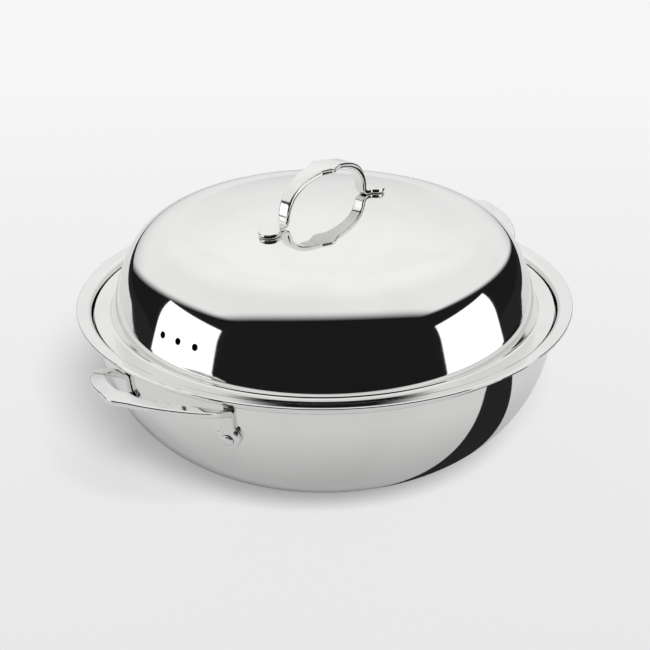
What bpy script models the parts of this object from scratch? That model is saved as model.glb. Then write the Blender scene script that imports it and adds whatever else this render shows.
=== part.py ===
"""A polished stainless steel wok with a domed lid, modelled piece by piece.

Metres, +Z up. The origin is the centre of the flat base's underside, and the two side
handles lie along X. The bowl and the lid are turned sheets, and the three handles are cast
straps: a strip that follows its own path, widens to a shaped pad at mid-span and narrows
to its feet.
"""
import math

import bmesh
import bpy
from mathutils import Matrix, Vector

# Driving dimensions, in metres

GAP = 0.0003                 # clearance between pieces that touch
TURN_STEPS = 56              # facets round the bowl and the lid
SMALL_TURN_STEPS = 16        # facets round rivets, pads and holes

# Bowl
RIM_RADIUS = 0.178
BOWL_HEIGHT = 0.114
BOWL_SHEET = 0.0025
BASE_RADIUS = 0.064
FLANGE_WIDTH = 0.0098        # rim edge to the top of the step
FLANGE_FALL = 0.0006         # the flange dips this much towards the bowl
STEP_DROP = 0.0076           # rim edge down to the ledge that the lid sits on
STEP_RUN = 0.0020            # the step's slope, measured in plan
LEDGE_WIDTH = 0.0028
SHEET_BEND = 0.0026          # bend radius of the pressed step, at mid-sheet
WALL_LEAN = 0.0071           # how far the wall leans in before it turns to the base
WALL_FULLNESS = 0.98         # share of the wall's height at which it turns

# Lid
LID_SHEET = 0.0010
LID_PLAY = 0.0012            # brim edge to the foot of the step
LID_HEIGHT = 0.0708          # brim top to the crown's centre
LID_BRIM = 0.0104            # brim width, out from the wall's foot
LID_WALL_ANGLE = math.radians(70.5)
LID_WALL_HEIGHT = 0.0275     # straight part of the lid's wall
LID_FOOT_BEND = 0.0060       # bend radius between the wall and the brim
LID_SHOULDER = 0.0470        # width of the rounded shoulder, in plan
LID_CROWN_RADIUS = 0.600     # the top's shallow dome
SHOULDER_FULLNESS = 1.17     # how far up the shoulder's curve holds the wall's slope
LID_TURN = math.radians(-2.9)

# Steam vents in the lid's wall
VENT_COUNT = 3
VENT_RADIUS = 0.0024
VENT_PITCH = 0.0148
VENT_HEIGHT = 0.0213         # above the brim's top

# Cast straps
STRAP_ROUND = 0.0016         # rounding of their long edges

# Side handles
SIDE_THICK = 0.0038
RIVET_SPREAD = 0.0440        # half the distance between a handle's two rivets
RIVET_DROP = 0.0338          # rim down to the rivets
PAD_RADIUS = 0.0082
PAD_THICK = 0.0044
PAD_ROUND = 0.0012
NECK_DROP = 0.0144           # rim down to where the leg bends out
NECK_BEND = 0.0050
NECK_RUN = 0.0073            # the arm runs straight out of the bend this far
NECK_RISE = math.radians(26)
GRIP_REACH = 0.0322          # rim edge to the middle of the grip
GRIP_LIFT = 0.0022           # the grip's middle stands this far above the rim
GRIP_TILT = math.radians(9)
ARM_HOLD = 0.0180            # how far the arm keeps its direction off the wall
ARM_CLIMB = 0.0082           # and how far it climbs there
GRIP_HOLD = 0.0220           # how far the grip keeps its direction off the middle
SIDE_WIDTHS = (0.0180, 0.0122, 0.0102, 0.0092)

# Lid handle
ARCH_THICK = 0.0048
ARCH_HEIGHT = 0.0332         # crown's centre up to the arch's top face
ARCH_HALF_SPAN = 0.0432      # middle to the outer face of the leg's foot
ARCH_HOLD = 0.0220           # how far the arch keeps level off its middle
ARCH_LEAN = 0.0017           # the legs lean in this much over the stretch below
ARCH_LEG = 0.0180
ARCH_FOOT_RISE = 0.0048      # where the leg starts to turn into the foot
FOOT_BEND = 0.0045
FOOT_PLACE = 0.0567          # middle to the centre of the foot's round pad
FOOT_RADIUS = 0.0080
FOOT_THICK = 0.0036
FOOT_ROUND = 0.0010
LID_WIDTHS = (0.0205, 0.0136, 0.0094, 0.0082)

# The widened pad at mid-span of each strap
MEDAL_FLAT = 0.0016          # half the length at full width
MEDAL_SLOPE = 0.0085         # length of each slanted shoulder

# Rivets through the bowl, and studs under the lid handle
RIVET_SHANK = 0.0026
RIVET_HEAD = 0.0042
RIVET_HEAD_RISE = 0.0018
RIVET_TAIL = 0.0055
RIVET_TAIL_RISE = 0.0014
RIVET_TAIL_SEAT = 0.0008      # the flat tail stands off the hollow wall by this much more
STUD_SHANK = 0.0017
STUD_DEPTH = 0.0018          # how far the stud's hole reaches into the foot
STUD_BUTTON = 0.0050
STUD_BUTTON_RISE = 0.0013

# Sizes that follow from these

STEP_TOP_RADIUS = RIM_RADIUS - FLANGE_WIDTH
LEDGE_RADIUS = STEP_TOP_RADIUS - STEP_RUN
LEDGE_HEIGHT = BOWL_HEIGHT - STEP_DROP
BRIM_RADIUS = LEDGE_RADIUS - LID_PLAY
BRIM_TOP = LEDGE_HEIGHT + GAP + LID_SHEET
CROWN_TOP = BRIM_TOP + LID_HEIGHT
RIVET_HEIGHT = BOWL_HEIGHT - RIVET_DROP
HOLE_RADIUS = RIVET_SHANK + GAP
STUD_HOLE_RADIUS = STUD_SHANK + GAP


def lerp(a, b, share):
    return a + (b - a) * share


def spread(path, distances):
    """Places and directions at distances along a path of points."""
    found = []
    for distance in distances:
        left = distance
        for a, b in zip(path, path[1:]):
            run = (b - a).length
            if left <= run or b is path[-1]:
                found.append((a + (b - a) * min(1.0, left / run), (b - a).normalized()))
                break
            left -= run
    return found


def length_of(path):
    return sum((b - a).length for a, b in zip(path, path[1:]))


def cubic(p0, p1, p2, p3, steps):
    """Points along a cubic curve, both ends included."""
    points = []
    for i in range(steps + 1):
        t = i / steps
        s = 1 - t
        points.append(p0 * s ** 3 + p1 * 3 * s * s * t + p2 * 3 * s * t * t + p3 * t ** 3)
    return points


def evenly(points, steps):
    """The same path with its points at even distances."""
    total = length_of(points)
    return [place for place, _ in spread(points, [total * i / steps for i in range(steps + 1)])]


def corner(before, at, after, radius, steps):
    """Points along the arc that rounds a corner between two straight runs."""
    inward = (before - at).normalized()
    outward = (after - at).normalized()
    half = inward.angle(outward) / 2
    centre = at + (inward + outward).normalized() * (radius / math.sin(half))
    start = at + inward * (radius / math.tan(half)) - centre
    end = at + outward * (radius / math.tan(half)) - centre
    sweep = start.angle(end)
    points = []
    for i in range(steps + 1):
        share = i / steps
        weight = math.sin(sweep)
        points.append(centre + start * (math.sin((1 - share) * sweep) / weight)
                      + end * (math.sin(share * sweep) / weight))
    return points


def rz(radius, height):
    """A point of a turned profile, in the XZ plane."""
    return Vector((radius, 0.0, height))


def without_repeats(points):
    kept = [points[0]]
    for point in points[1:]:
        if (point - kept[-1]).length > 1e-5:
            kept.append(point)
    return kept


# The bowl's sheet, followed at its middle from the rim to the base's centre

def wall_curve(steps):
    """The bowl's wall below the ledge, at mid-sheet."""
    half = BOWL_SHEET / 2
    radius = LEDGE_RADIUS - LEDGE_WIDTH + half
    top = rz(radius, LEDGE_HEIGHT - half - SHEET_BEND)
    bottom = rz(BASE_RADIUS, half)
    turn = rz(radius - WALL_LEAN, lerp(top.z, bottom.z, WALL_FULLNESS))
    return cubic(top, turn, bottom, bottom, steps)


def bowl_profile():
    half = BOWL_SHEET / 2
    rim = rz(RIM_RADIUS, BOWL_HEIGHT - half)
    step_top = rz(STEP_TOP_RADIUS + half * 0.8, BOWL_HEIGHT - half - FLANGE_FALL)
    step_foot = rz(LEDGE_RADIUS + half * 0.8, LEDGE_HEIGHT - half)
    wall = evenly(wall_curve(60), 9)
    wall_head = rz(wall[0].x, LEDGE_HEIGHT - half)
    points = [rim]
    points += corner(rim, step_top, step_foot, SHEET_BEND, 3)
    points += corner(step_top, step_foot, wall_head, SHEET_BEND * 0.4, 2)
    points += corner(step_foot, wall_head, wall[0], SHEET_BEND * 0.6, 2)
    points += wall
    points += [rz(0, half)]
    return without_repeats(points)


def wall_at(height):
    """Outer radius of the bowl's wall at a height, and how far its face tips down there."""
    points = wall_curve(60)
    for upper, lower in zip(points, points[1:]):
        if upper.z >= height >= lower.z:
            share = (upper.z - height) / (upper.z - lower.z)
            run = upper - lower
            tip = math.atan2(run.x, run.z)
            outer = lerp(upper.x, lower.x, share) + BOWL_SHEET / 2 / math.cos(tip)
            return outer, tip
    raise ValueError("no wall at this height")


# The lid's sheet, followed at its middle from the crown's centre to the brim's edge

def crown_height(radius):
    """Height of the lid's upper face inside the shoulder."""
    return CROWN_TOP - LID_CROWN_RADIUS + math.sqrt(LID_CROWN_RADIUS ** 2 - radius ** 2)


def lid_wall():
    """Foot and head of the straight part of the lid's wall, at mid-sheet."""
    brim = BRIM_TOP - LID_SHEET / 2
    foot = rz(BRIM_RADIUS - LID_BRIM, brim)
    up = rz(-math.cos(LID_WALL_ANGLE), math.sin(LID_WALL_ANGLE))
    return foot, foot + up * (LID_WALL_HEIGHT / up.z)


def lid_profile():
    half = LID_SHEET / 2
    foot, head = lid_wall()
    crown_edge = head.x - LID_SHOULDER
    top = rz(crown_edge, crown_height(crown_edge) - half)
    fall = rz(1, -crown_edge / LID_CROWN_RADIUS)
    hold = (head - foot).normalized() * (top.z - head.z) * SHOULDER_FULLNESS
    points = []
    for i in range(4):
        radius = crown_edge * i / 4
        points.append(rz(radius, crown_height(radius) - half))
    points += evenly(cubic(top, top + fall * (LID_SHOULDER / 10), head + hold, head, 40), 8)
    edge = rz(BRIM_RADIUS, foot.z)
    points += corner(head, foot, edge, LID_FOOT_BEND, 3)
    points.append(edge)
    return without_repeats(points)


# Mesh and modifier helpers

def new_collection(name):
    collection = bpy.data.collections.new(name)
    bpy.context.scene.collection.children.link(collection)
    return collection


def steel(name, colour, roughness):
    """A metal material of its own for each piece."""
    material = bpy.data.materials.new(name)
    material.use_nodes = True
    shader = material.node_tree.nodes["Principled BSDF"]
    shader.inputs["Base Color"].default_value = (*colour, 1.0)
    shader.inputs["Metallic"].default_value = 1.0
    shader.inputs["Roughness"].default_value = roughness
    return material


POLISHED = ((0.83, 0.83, 0.82), 0.05)
CAST = ((0.80, 0.80, 0.79), 0.12)
TURNED = ((0.74, 0.74, 0.73), 0.22)


def add_object(name, mesh, collection, finish=None):
    piece = bpy.data.objects.new(name, mesh)
    collection.objects.link(piece)
    if finish:
        mesh.materials.append(steel(name + "_steel", *finish))
    return piece


def line_mesh(name, points):
    mesh = bpy.data.meshes.new(name)
    edges = [(i, i + 1) for i in range(len(points) - 1)]
    mesh.from_pydata([tuple(point) for point in points], edges, [])
    return mesh


def turn(piece, steps):
    """Turn the piece's profile about its Z axis."""
    screw = piece.modifiers.new("Turn", "SCREW")
    screw.axis = "Z"
    screw.steps = steps
    screw.render_steps = steps
    screw.use_merge_vertices = True
    screw.merge_threshold = 0.00001
    return screw


def thicken(piece, thickness):
    """Give an open surface its wall, half to each side."""
    solidify = piece.modifiers.new("Wall", "SOLIDIFY")
    solidify.thickness = thickness
    solidify.offset = 0.0
    solidify.use_even_offset = True
    return solidify


def soften(piece, width, segments):
    bevel = piece.modifiers.new("Edges", "BEVEL")
    bevel.width = width
    bevel.segments = segments
    bevel.limit_method = "ANGLE"
    bevel.angle_limit = math.radians(50)
    return bevel


def boolean(piece, other, operation):
    change = piece.modifiers.new(operation.title(), "BOOLEAN")
    change.operation = operation
    change.solver = "EXACT"
    change.object = other
    return change


def bar(name, radius, low, high, placed):
    """A guide cylinder along its own Z from low to high, hidden in the finished model."""
    bpy.ops.mesh.primitive_cylinder_add(vertices=SMALL_TURN_STEPS, radius=radius, depth=high - low)
    guide = bpy.context.object
    guide.name = name
    guide.data.transform(Matrix.Translation((0, 0, (low + high) / 2)))
    guide.matrix_world = placed
    for collection in list(guide.users_collection):
        collection.objects.unlink(guide)
    guides.objects.link(guide)
    guide.hide_render = True
    guide.display_type = "WIRE"
    return guide


def along(point, direction):
    """A placement at a point, with local Z along a direction."""
    return Matrix.Translation(point) @ direction.to_track_quat("Z", "Y").to_matrix().to_4x4()


# Straps

def width_at(distance, widths):
    """Strap width at a distance from mid-span, from (distance, width) pairs."""
    for (d0, w0), (d1, w1) in zip(widths, widths[1:]):
        if distance <= d1:
            return lerp(w0, w1, (distance - d0) / (d1 - d0))
    return widths[-1][1]


def half_strap(name, path, side_of, widths, steps):
    """A strip from mid-span to its end, lofted through cross lines of changing width.

    side_of gives the crosswise direction from a place and the path's direction there.
    """
    total = length_of(path)
    shoulders = [MEDAL_FLAT, MEDAL_FLAT + MEDAL_SLOPE]
    runs = [lerp(shoulders[1], total, (i + 1) / steps) for i in range(steps)]
    distances = [0.0] + shoulders + runs
    mesh = bpy.data.meshes.new(name)
    shape = bmesh.new()
    above = None
    for distance, (place, direction) in zip(distances, spread(path, distances)):
        if above is None:
            direction = Vector((0, 1, 0))
        reach = side_of(place, direction) * (width_at(distance, widths) / 2)
        below = [shape.verts.new(place - reach), shape.verts.new(place + reach)]
        if above:
            shape.faces.new((above[0], above[1], below[1], below[0]))
        above = below
    bmesh.ops.recalc_face_normals(shape, faces=shape.faces)
    shape.to_mesh(mesh)
    shape.free()
    return mesh


def cast_strap(name, mesh, collection, thickness):
    """A whole strap from its half: mirrored, thickened and with its edges rounded."""
    piece = add_object(name, mesh, collection, CAST)
    mirror = piece.modifiers.new("Other half", "MIRROR")
    mirror.use_axis = (False, True, False)
    mirror.merge_threshold = 0.00001
    thicken(piece, thickness)
    soften(piece, STRAP_ROUND, 2)
    return piece


# Side handles

def rivet_angle():
    radius, _ = wall_at(RIVET_HEIGHT)
    return math.asin(RIVET_SPREAD / radius)


def on_wall(angle, height, out):
    """A place off the bowl's outer face, at an angle round from the handle's middle."""
    radius, tip = wall_at(height)
    reach = radius + out * math.cos(tip)
    return Vector((reach * math.cos(angle), reach * math.sin(angle), height - out * math.sin(tip)))


def wall_normal(angle, height):
    _, tip = wall_at(height)
    return Vector((math.cos(angle) * math.cos(tip), math.sin(angle) * math.cos(tip), -math.sin(tip)))


def side_path():
    """The side handle's strap from mid-grip to below one rivet, at mid-thickness."""
    angle = rivet_angle()
    outward = Vector((math.cos(angle), math.sin(angle), 0))
    lift = Vector((0, 0, 1))
    off = GAP + SIDE_THICK / 2
    neck_height = BOWL_HEIGHT - NECK_DROP
    neck = on_wall(angle, neck_height, off)
    arm_way = outward * math.cos(NECK_RISE) + lift * math.sin(NECK_RISE)
    arm = neck + arm_way * NECK_RUN
    leg_top = on_wall(angle, neck_height - NECK_BEND * 1.6, off)
    middle = Vector((RIM_RADIUS + GRIP_REACH, 0, BOWL_HEIGHT + GRIP_LIFT))
    held = arm + outward * ARM_HOLD + lift * ARM_CLIMB
    path = cubic(middle, middle + Vector((0, GRIP_HOLD, 0)), held, arm, 24)
    path += corner(arm, neck, leg_top, NECK_BEND, 6)
    leg_end = RIVET_HEIGHT - PAD_RADIUS * 0.4
    for i in range(1, 7):
        path.append(on_wall(angle, lerp(leg_top.z, leg_end, i / 6), off))
    return without_repeats(path)


def side_widths(path):
    full, shoulder, arm, neck = SIDE_WIDTHS
    total = length_of(path)
    leg = RIVET_DROP - NECK_DROP + PAD_RADIUS * 0.4
    return [(0, full), (MEDAL_FLAT, full), (MEDAL_FLAT + MEDAL_SLOPE, shoulder),
            (total - leg - NECK_RUN - ARM_HOLD, arm), (total - leg - NECK_RUN, neck), (total, neck)]


def side_across(place, direction):
    """Level and square to the strap's way, but tipped up towards mid-grip."""
    level = Vector((direction.x, direction.y, 0))
    if level.length < 0.35:
        level = Vector((-place.x, -place.y, 0))
    across = Vector((level.y, -level.x, 0)).normalized()
    if across.dot(Vector((place.x, place.y, 0))) < 0 and abs(place.y) < RIVET_SPREAD / 2:
        across = -across
    tilt = GRIP_TILT * max(0.0, across.x) ** 2
    return across * math.cos(tilt) + Vector((0, 0, math.sin(tilt)))


def add_pads(handle, at):
    """The round pads of a side handle and their rivet holes."""
    for sign in (1, -1):
        angle = sign * rivet_angle()
        placed = at @ along(on_wall(angle, RIVET_HEIGHT, 0), wall_normal(angle, RIVET_HEIGHT))
        pad = bar("pad_" + handle.name, PAD_RADIUS, GAP, GAP + PAD_THICK, placed)
        soften(pad, PAD_ROUND, 2)
        boolean(handle, pad, "UNION")
        hole = bar("pad_hole_" + handle.name, HOLE_RADIUS, -PAD_THICK, 3 * PAD_THICK, placed)
        boolean(handle, hole, "DIFFERENCE")


# Rivets and studs

def rivet_profile():
    """Half a rivet: its head outside the pad, its shank, and its tail inside the bowl."""
    seat = GAP + PAD_THICK + GAP
    tail = -BOWL_SHEET - GAP - RIVET_TAIL_SEAT
    dome = cubic(rz(0, seat + RIVET_HEAD_RISE), rz(RIVET_HEAD * 0.6, seat + RIVET_HEAD_RISE),
                 rz(RIVET_HEAD, seat + RIVET_HEAD_RISE * 0.7), rz(RIVET_HEAD, seat), 4)
    button = cubic(rz(RIVET_TAIL, tail), rz(RIVET_TAIL, tail - RIVET_TAIL_RISE),
                   rz(RIVET_TAIL * 0.6, tail - RIVET_TAIL_RISE), rz(0, tail - RIVET_TAIL_RISE), 3)
    return dome + [rz(RIVET_SHANK, seat), rz(RIVET_SHANK, tail)] + button


def stud_profile():
    """Half a stud: its shank up into the foot, and its button under the lid."""
    under = -LID_SHEET - GAP
    button = cubic(rz(STUD_BUTTON, under), rz(STUD_BUTTON, under - STUD_BUTTON_RISE),
                   rz(STUD_BUTTON * 0.6, under - STUD_BUTTON_RISE),
                   rz(0, under - STUD_BUTTON_RISE), 3)
    top = GAP + STUD_DEPTH - GAP
    return [rz(0, top), rz(STUD_SHANK, top), rz(STUD_SHANK, under)] + button


# Lid handle

def lid_handle_path():
    """The lid handle's strap from mid-arch to one tip, at mid-thickness, in the YZ plane."""
    top = CROWN_TOP + ARCH_HEIGHT - ARCH_THICK / 2
    span = ARCH_HALF_SPAN - FOOT_THICK / 2

    def place(across, height):
        return Vector((0, across, height))

    def on_crown(across):
        return place(across, crown_height(across) + GAP + FOOT_THICK / 2)

    leg_foot = place(span, on_crown(span).z + ARCH_FOOT_RISE)
    leg_hold = leg_foot + Vector((0, -ARCH_LEAN, ARCH_LEG))
    path = cubic(place(0, top), place(ARCH_HOLD, top), leg_hold, leg_foot, 24)
    path += corner(leg_foot, on_crown(span), on_crown(FOOT_PLACE), FOOT_BEND, 5)
    path.append(on_crown(FOOT_PLACE))
    return without_repeats(path)


def lid_handle_mesh():
    path = lid_handle_path()
    full, shoulder, leg, ankle = LID_WIDTHS
    total = length_of(path)
    foot = FOOT_PLACE - ARCH_HALF_SPAN
    widths = [(0, full), (MEDAL_FLAT, full), (MEDAL_FLAT + MEDAL_SLOPE, shoulder),
              (total - foot - ARCH_LEG, leg), (total - foot, ankle), (total, ankle)]
    return half_strap("lid_strap", path, lambda *_: Vector((1, 0, 0)), widths, 16)


def thin_down_legs(handle):
    """Let the lid handle's strap thin down its legs to the thickness of its feet."""
    foot = crown_height(ARCH_HALF_SPAN) + GAP + FOOT_THICK / 2 + ARCH_FOOT_RISE
    arch = handle.vertex_groups.new(name="arch")
    for vertex in handle.data.vertices:
        share = min(max((vertex.co.z - foot) / ARCH_LEG, 0.0), 1.0)
        arch.add([vertex.index], share, "REPLACE")
    wall = handle.modifiers["Wall"]
    wall.vertex_group = arch.name
    wall.thickness_vertex_group = FOOT_THICK / ARCH_THICK


def stud_place(sign):
    """The foot's centre on the lid's upper face, with local Z square to it."""
    across = sign * FOOT_PLACE
    normal = Vector((0, across, math.sqrt(LID_CROWN_RADIUS ** 2 - across ** 2))).normalized()
    return along(Vector((0, across, crown_height(across))), normal)


# Build

def build_bowl(collection):
    bowl = add_object("wok_bowl", line_mesh("bowl", bowl_profile()), collection, POLISHED)
    turn(bowl, TURN_STEPS)
    thicken(bowl, BOWL_SHEET)
    for side in SIDES:
        for sign in (1, -1):
            angle = sign * rivet_angle()
            placed = SIDES[side] @ along(on_wall(angle, RIVET_HEIGHT, 0),
                                         wall_normal(angle, RIVET_HEIGHT))
            hole = bar("wall_hole", HOLE_RADIUS, -3 * BOWL_SHEET, 2 * BOWL_SHEET, placed)
            boolean(bowl, hole, "DIFFERENCE")
    return bowl


def build_side_handles(collection):
    path = side_path()
    for side, at in SIDES.items():
        mesh = half_strap("side_strap", path, side_across, side_widths(path), 15)
        handle = cast_strap("side_handle_" + side, mesh, collection, SIDE_THICK)
        handle.matrix_world = at
        add_pads(handle, at)


def build_rivets(collection):
    for side, at in SIDES.items():
        for sign in (1, -1):
            angle = sign * rivet_angle()
            placed = at @ along(on_wall(angle, RIVET_HEIGHT, 0), wall_normal(angle, RIVET_HEIGHT))
            end = "back" if placed.translation.y > 0 else "front"
            profile = line_mesh("rivet", rivet_profile())
            rivet = add_object("rivet_" + side + "_" + end, profile, collection, TURNED)
            rivet.matrix_world = placed
            turn(rivet, SMALL_TURN_STEPS)


def build_lid(collection, axis):
    lid = add_object("lid", line_mesh("lid", lid_profile()), collection, POLISHED)
    lid.parent = axis
    turn(lid, TURN_STEPS)
    thicken(lid, LID_SHEET)
    foot, head = lid_wall()
    share = (BRIM_TOP + VENT_HEIGHT - foot.z) / (head.z - foot.z)
    radius = lerp(foot.x, head.x, share)
    for i in range(VENT_COUNT):
        angle = math.pi + (i - (VENT_COUNT - 1) / 2) * VENT_PITCH / radius
        place = Vector((radius * math.cos(angle), radius * math.sin(angle), BRIM_TOP + VENT_HEIGHT))
        level = math.sin(LID_WALL_ANGLE)
        normal = Vector((math.cos(angle) * level, math.sin(angle) * level, math.cos(LID_WALL_ANGLE)))
        vent = bar("vent", VENT_RADIUS, -4 * LID_SHEET, 4 * LID_SHEET, along(place, normal))
        vent.parent = axis
        boolean(lid, vent, "DIFFERENCE")
    for sign in (1, -1):
        placed = ALONG_X @ stud_place(sign)
        hole = bar("stud_hole", STUD_HOLE_RADIUS, -4 * LID_SHEET, 4 * LID_SHEET, placed)
        hole.parent = axis
        boolean(lid, hole, "DIFFERENCE")
    return lid


def build_lid_handle(collection, axis):
    handle = cast_strap("lid_handle", lid_handle_mesh(), collection, ARCH_THICK)
    thin_down_legs(handle)
    handle.matrix_world = ALONG_X
    handle.parent = axis
    for sign, end in ((1, "left"), (-1, "right")):
        placed = ALONG_X @ stud_place(sign)
        pad = bar("foot_pad", FOOT_RADIUS, GAP, GAP + FOOT_THICK, placed)
        pad.parent = axis
        soften(pad, FOOT_ROUND, 2)
        boolean(handle, pad, "UNION")
        socket = bar("stud_socket", STUD_HOLE_RADIUS, -STUD_DEPTH, GAP + STUD_DEPTH + GAP, placed)
        socket.parent = axis
        boolean(handle, socket, "DIFFERENCE")
        stud = add_object("lid_stud_" + end, line_mesh("stud", stud_profile()), collection, TURNED)
        stud.matrix_world = placed
        stud.parent = axis
        turn(stud, SMALL_TURN_STEPS)


def shade(pieces):
    for piece in pieces:
        piece.data.shade_smooth()
        if not piece.data.polygons:
            piece.modifiers["Turn"].use_smooth_shade = True


for old in list(bpy.data.objects):
    bpy.data.objects.remove(old, do_unlink=True)

SIDES = {"right": Matrix.Identity(4), "left": Matrix.Rotation(math.pi, 4, "Z")}
ALONG_X = Matrix.Rotation(math.pi / 2, 4, "Z")

parts = new_collection("wok")
guides = new_collection("guides")

build_bowl(parts)
build_side_handles(parts)
build_rivets(parts)

lid_axis = bpy.data.objects.new("lid_axis", None)
guides.objects.link(lid_axis)
build_lid(parts, lid_axis)
build_lid_handle(parts, lid_axis)
lid_axis.rotation_euler.z = LID_TURN

shade(parts.objects)
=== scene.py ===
"""The looks of a polished steel wok and its domed lid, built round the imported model.

Metres, +Z up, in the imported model's own frame: the origin is the centre of the flat base's
underside, and the side handles lie along X. The bowl and the lid are turned from the outline
of their pressed sheets, the handles are cast straps lofted along their paths, and cards
round the wok give the polished steel what it mirrors.
"""
import math
from bisect import bisect_right

import bmesh
import bpy
from mathutils import Matrix, Vector


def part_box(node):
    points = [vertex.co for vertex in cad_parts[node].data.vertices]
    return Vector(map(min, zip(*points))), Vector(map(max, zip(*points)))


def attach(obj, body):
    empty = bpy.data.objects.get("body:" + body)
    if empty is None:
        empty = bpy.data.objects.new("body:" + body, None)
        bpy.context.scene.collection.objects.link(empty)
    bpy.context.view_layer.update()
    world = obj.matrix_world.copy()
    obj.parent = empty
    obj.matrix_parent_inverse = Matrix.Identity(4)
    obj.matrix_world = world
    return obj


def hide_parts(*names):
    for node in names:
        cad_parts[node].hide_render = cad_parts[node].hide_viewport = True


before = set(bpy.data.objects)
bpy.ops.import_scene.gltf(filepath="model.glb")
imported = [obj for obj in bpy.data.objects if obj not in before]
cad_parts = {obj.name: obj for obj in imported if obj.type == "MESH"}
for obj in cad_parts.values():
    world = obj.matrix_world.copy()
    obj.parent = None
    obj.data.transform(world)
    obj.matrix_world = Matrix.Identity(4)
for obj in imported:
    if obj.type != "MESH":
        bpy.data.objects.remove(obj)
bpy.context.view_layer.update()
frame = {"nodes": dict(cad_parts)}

# The wok's sizes. Those marked 'off the model' differ a little from the imported model's, so that the rim
# and the straps mirror light and dark where the real ones do.

GAP = 0.0003
RIM_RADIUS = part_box("wok_bowl")[1].x
BOWL_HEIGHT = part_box("wok_bowl")[1].z
BOWL_SHEET = 0.0025
BASE_RADIUS = 0.064
FLANGE_WIDTH = 0.0098
FLANGE_FALL = 0.0010  # off the model
STEP_DROP = 0.0076
STEP_RUN = 0.0020
STEP_SHIFT = 0.4 * BOWL_SHEET  # from the step's face to its mid-sheet
LEDGE_WIDTH = 0.0028
SHEET_BEND = 0.0026
STEP_FOOT_BEND = 0.4 * SHEET_BEND
LEDGE_BEND = 0.6 * SHEET_BEND
WALL_LEAN = 0.0071
WALL_FULLNESS = 0.98
RIM_EDGE_ROUND = 0.0009

LID_SHEET = 0.0010
LID_PLAY = 0.0006  # off the model
LID_HEIGHT = 0.0708
LID_BRIM = 0.0110  # off the model
LID_WALL_ANGLE = math.radians(70.5)
LID_WALL_HEIGHT = 0.0275
LID_FOOT_BEND = 0.0026  # off the model
LID_SHOULDER = 0.0470
LID_CROWN_RADIUS = 0.600
SHOULDER_EASE = LID_SHOULDER / 10
SHOULDER_FULLNESS = 1.17
LID_TURN = math.radians(-2.9)
BRIM_EDGE_ROUND = 0.00045
BRIM_LIFT = 0.0014  # off the model: the brim's edge turns up
FOOT_TUCK = 0.0009  # off the model: the wall's foot is drawn in

VENT_COUNT = 3
VENT_RADIUS = 0.0024
VENT_PITCH = 0.0148
VENT_HEIGHT = 0.0213

STRAP_ROUND = 0.55  # off the model: rounding of the long edges, as a share of half the thickness
MEDAL_FLAT = 0.0016
MEDAL_SLOPE = 0.0085
MEDAL_ROUND = 0.0030
WAIST_ROUND = 2 * MEDAL_ROUND
PAD_FILLET = 0.0030
PAD_OVERRUN = 1.1  # how far a path runs past its pad's middle, in pad radii
PAD_SWELL = (1.4, 0.7)  # where a side pad grows thicker, in pad radii before its middle

SIDE_THICK = 0.0038
RIVET_SPREAD = 0.0440
RIVET_DROP = 0.0338
PAD_RADIUS = 0.0082
PAD_THICK = 0.0044
NECK_DROP = 0.0144
NECK_BEND = 0.0050
NECK_LEG = 1.6 * NECK_BEND  # from the neck down to where the leg lies on the wall
NECK_RUN = 0.0073
NECK_RISE = math.radians(26)
GRIP_REACH = 0.0322
GRIP_LIFT = 0.0022
GRIP_TILT = math.radians(9)
ARM_HOLD = 0.0180
ARM_CLIMB = 0.0082
GRIP_HOLD = 0.0220
SIDE_WIDTHS = (0.0180, 0.0122, 0.0102, 0.0092)

ARCH_THICK = 0.0048
ARCH_HEIGHT = 0.0332
ARCH_HALF_SPAN = 0.0432
ARCH_HOLD = 0.0220
ARCH_LEAN = 0.0017
ARCH_LEG = 0.0180
ARCH_FOOT_RISE = 0.0048
FOOT_BEND = 0.0045
FOOT_PLACE = 0.0567
FOOT_RADIUS = 0.0080
FOOT_THICK = 0.0036
LID_WIDTHS = (0.0205, 0.0136, 0.0094, 0.0082)

RIVET_SHANK = 0.0026
RIVET_HEAD = 0.0042
RIVET_HEAD_RISE = 0.0018
HEAD_EDGE = 0.7  # height of a head's full edge, as a share of its rise
RIVET_TAIL = 0.0055
RIVET_TAIL_RISE = 0.0014
RIVET_TAIL_SEAT = 0.0008
STUD_SHANK = 0.0017
STUD_DEPTH = 0.0018
STUD_BUTTON = 0.0050
STUD_BUTTON_RISE = 0.0013
BUTTON_FLAT = 0.6  # how flat a head or button is on top, as a share of its radius

STEP_TOP_RADIUS = RIM_RADIUS - FLANGE_WIDTH
LEDGE_RADIUS = STEP_TOP_RADIUS - STEP_RUN
LEDGE_HEIGHT = BOWL_HEIGHT - STEP_DROP
BRIM_RADIUS = LEDGE_RADIUS - LID_PLAY
BRIM_TOP = LEDGE_HEIGHT + GAP + LID_SHEET
CROWN_TOP = BRIM_TOP + LID_HEIGHT
RIVET_HEIGHT = BOWL_HEIGHT - RIVET_DROP

# How finely the meshes are made

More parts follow.
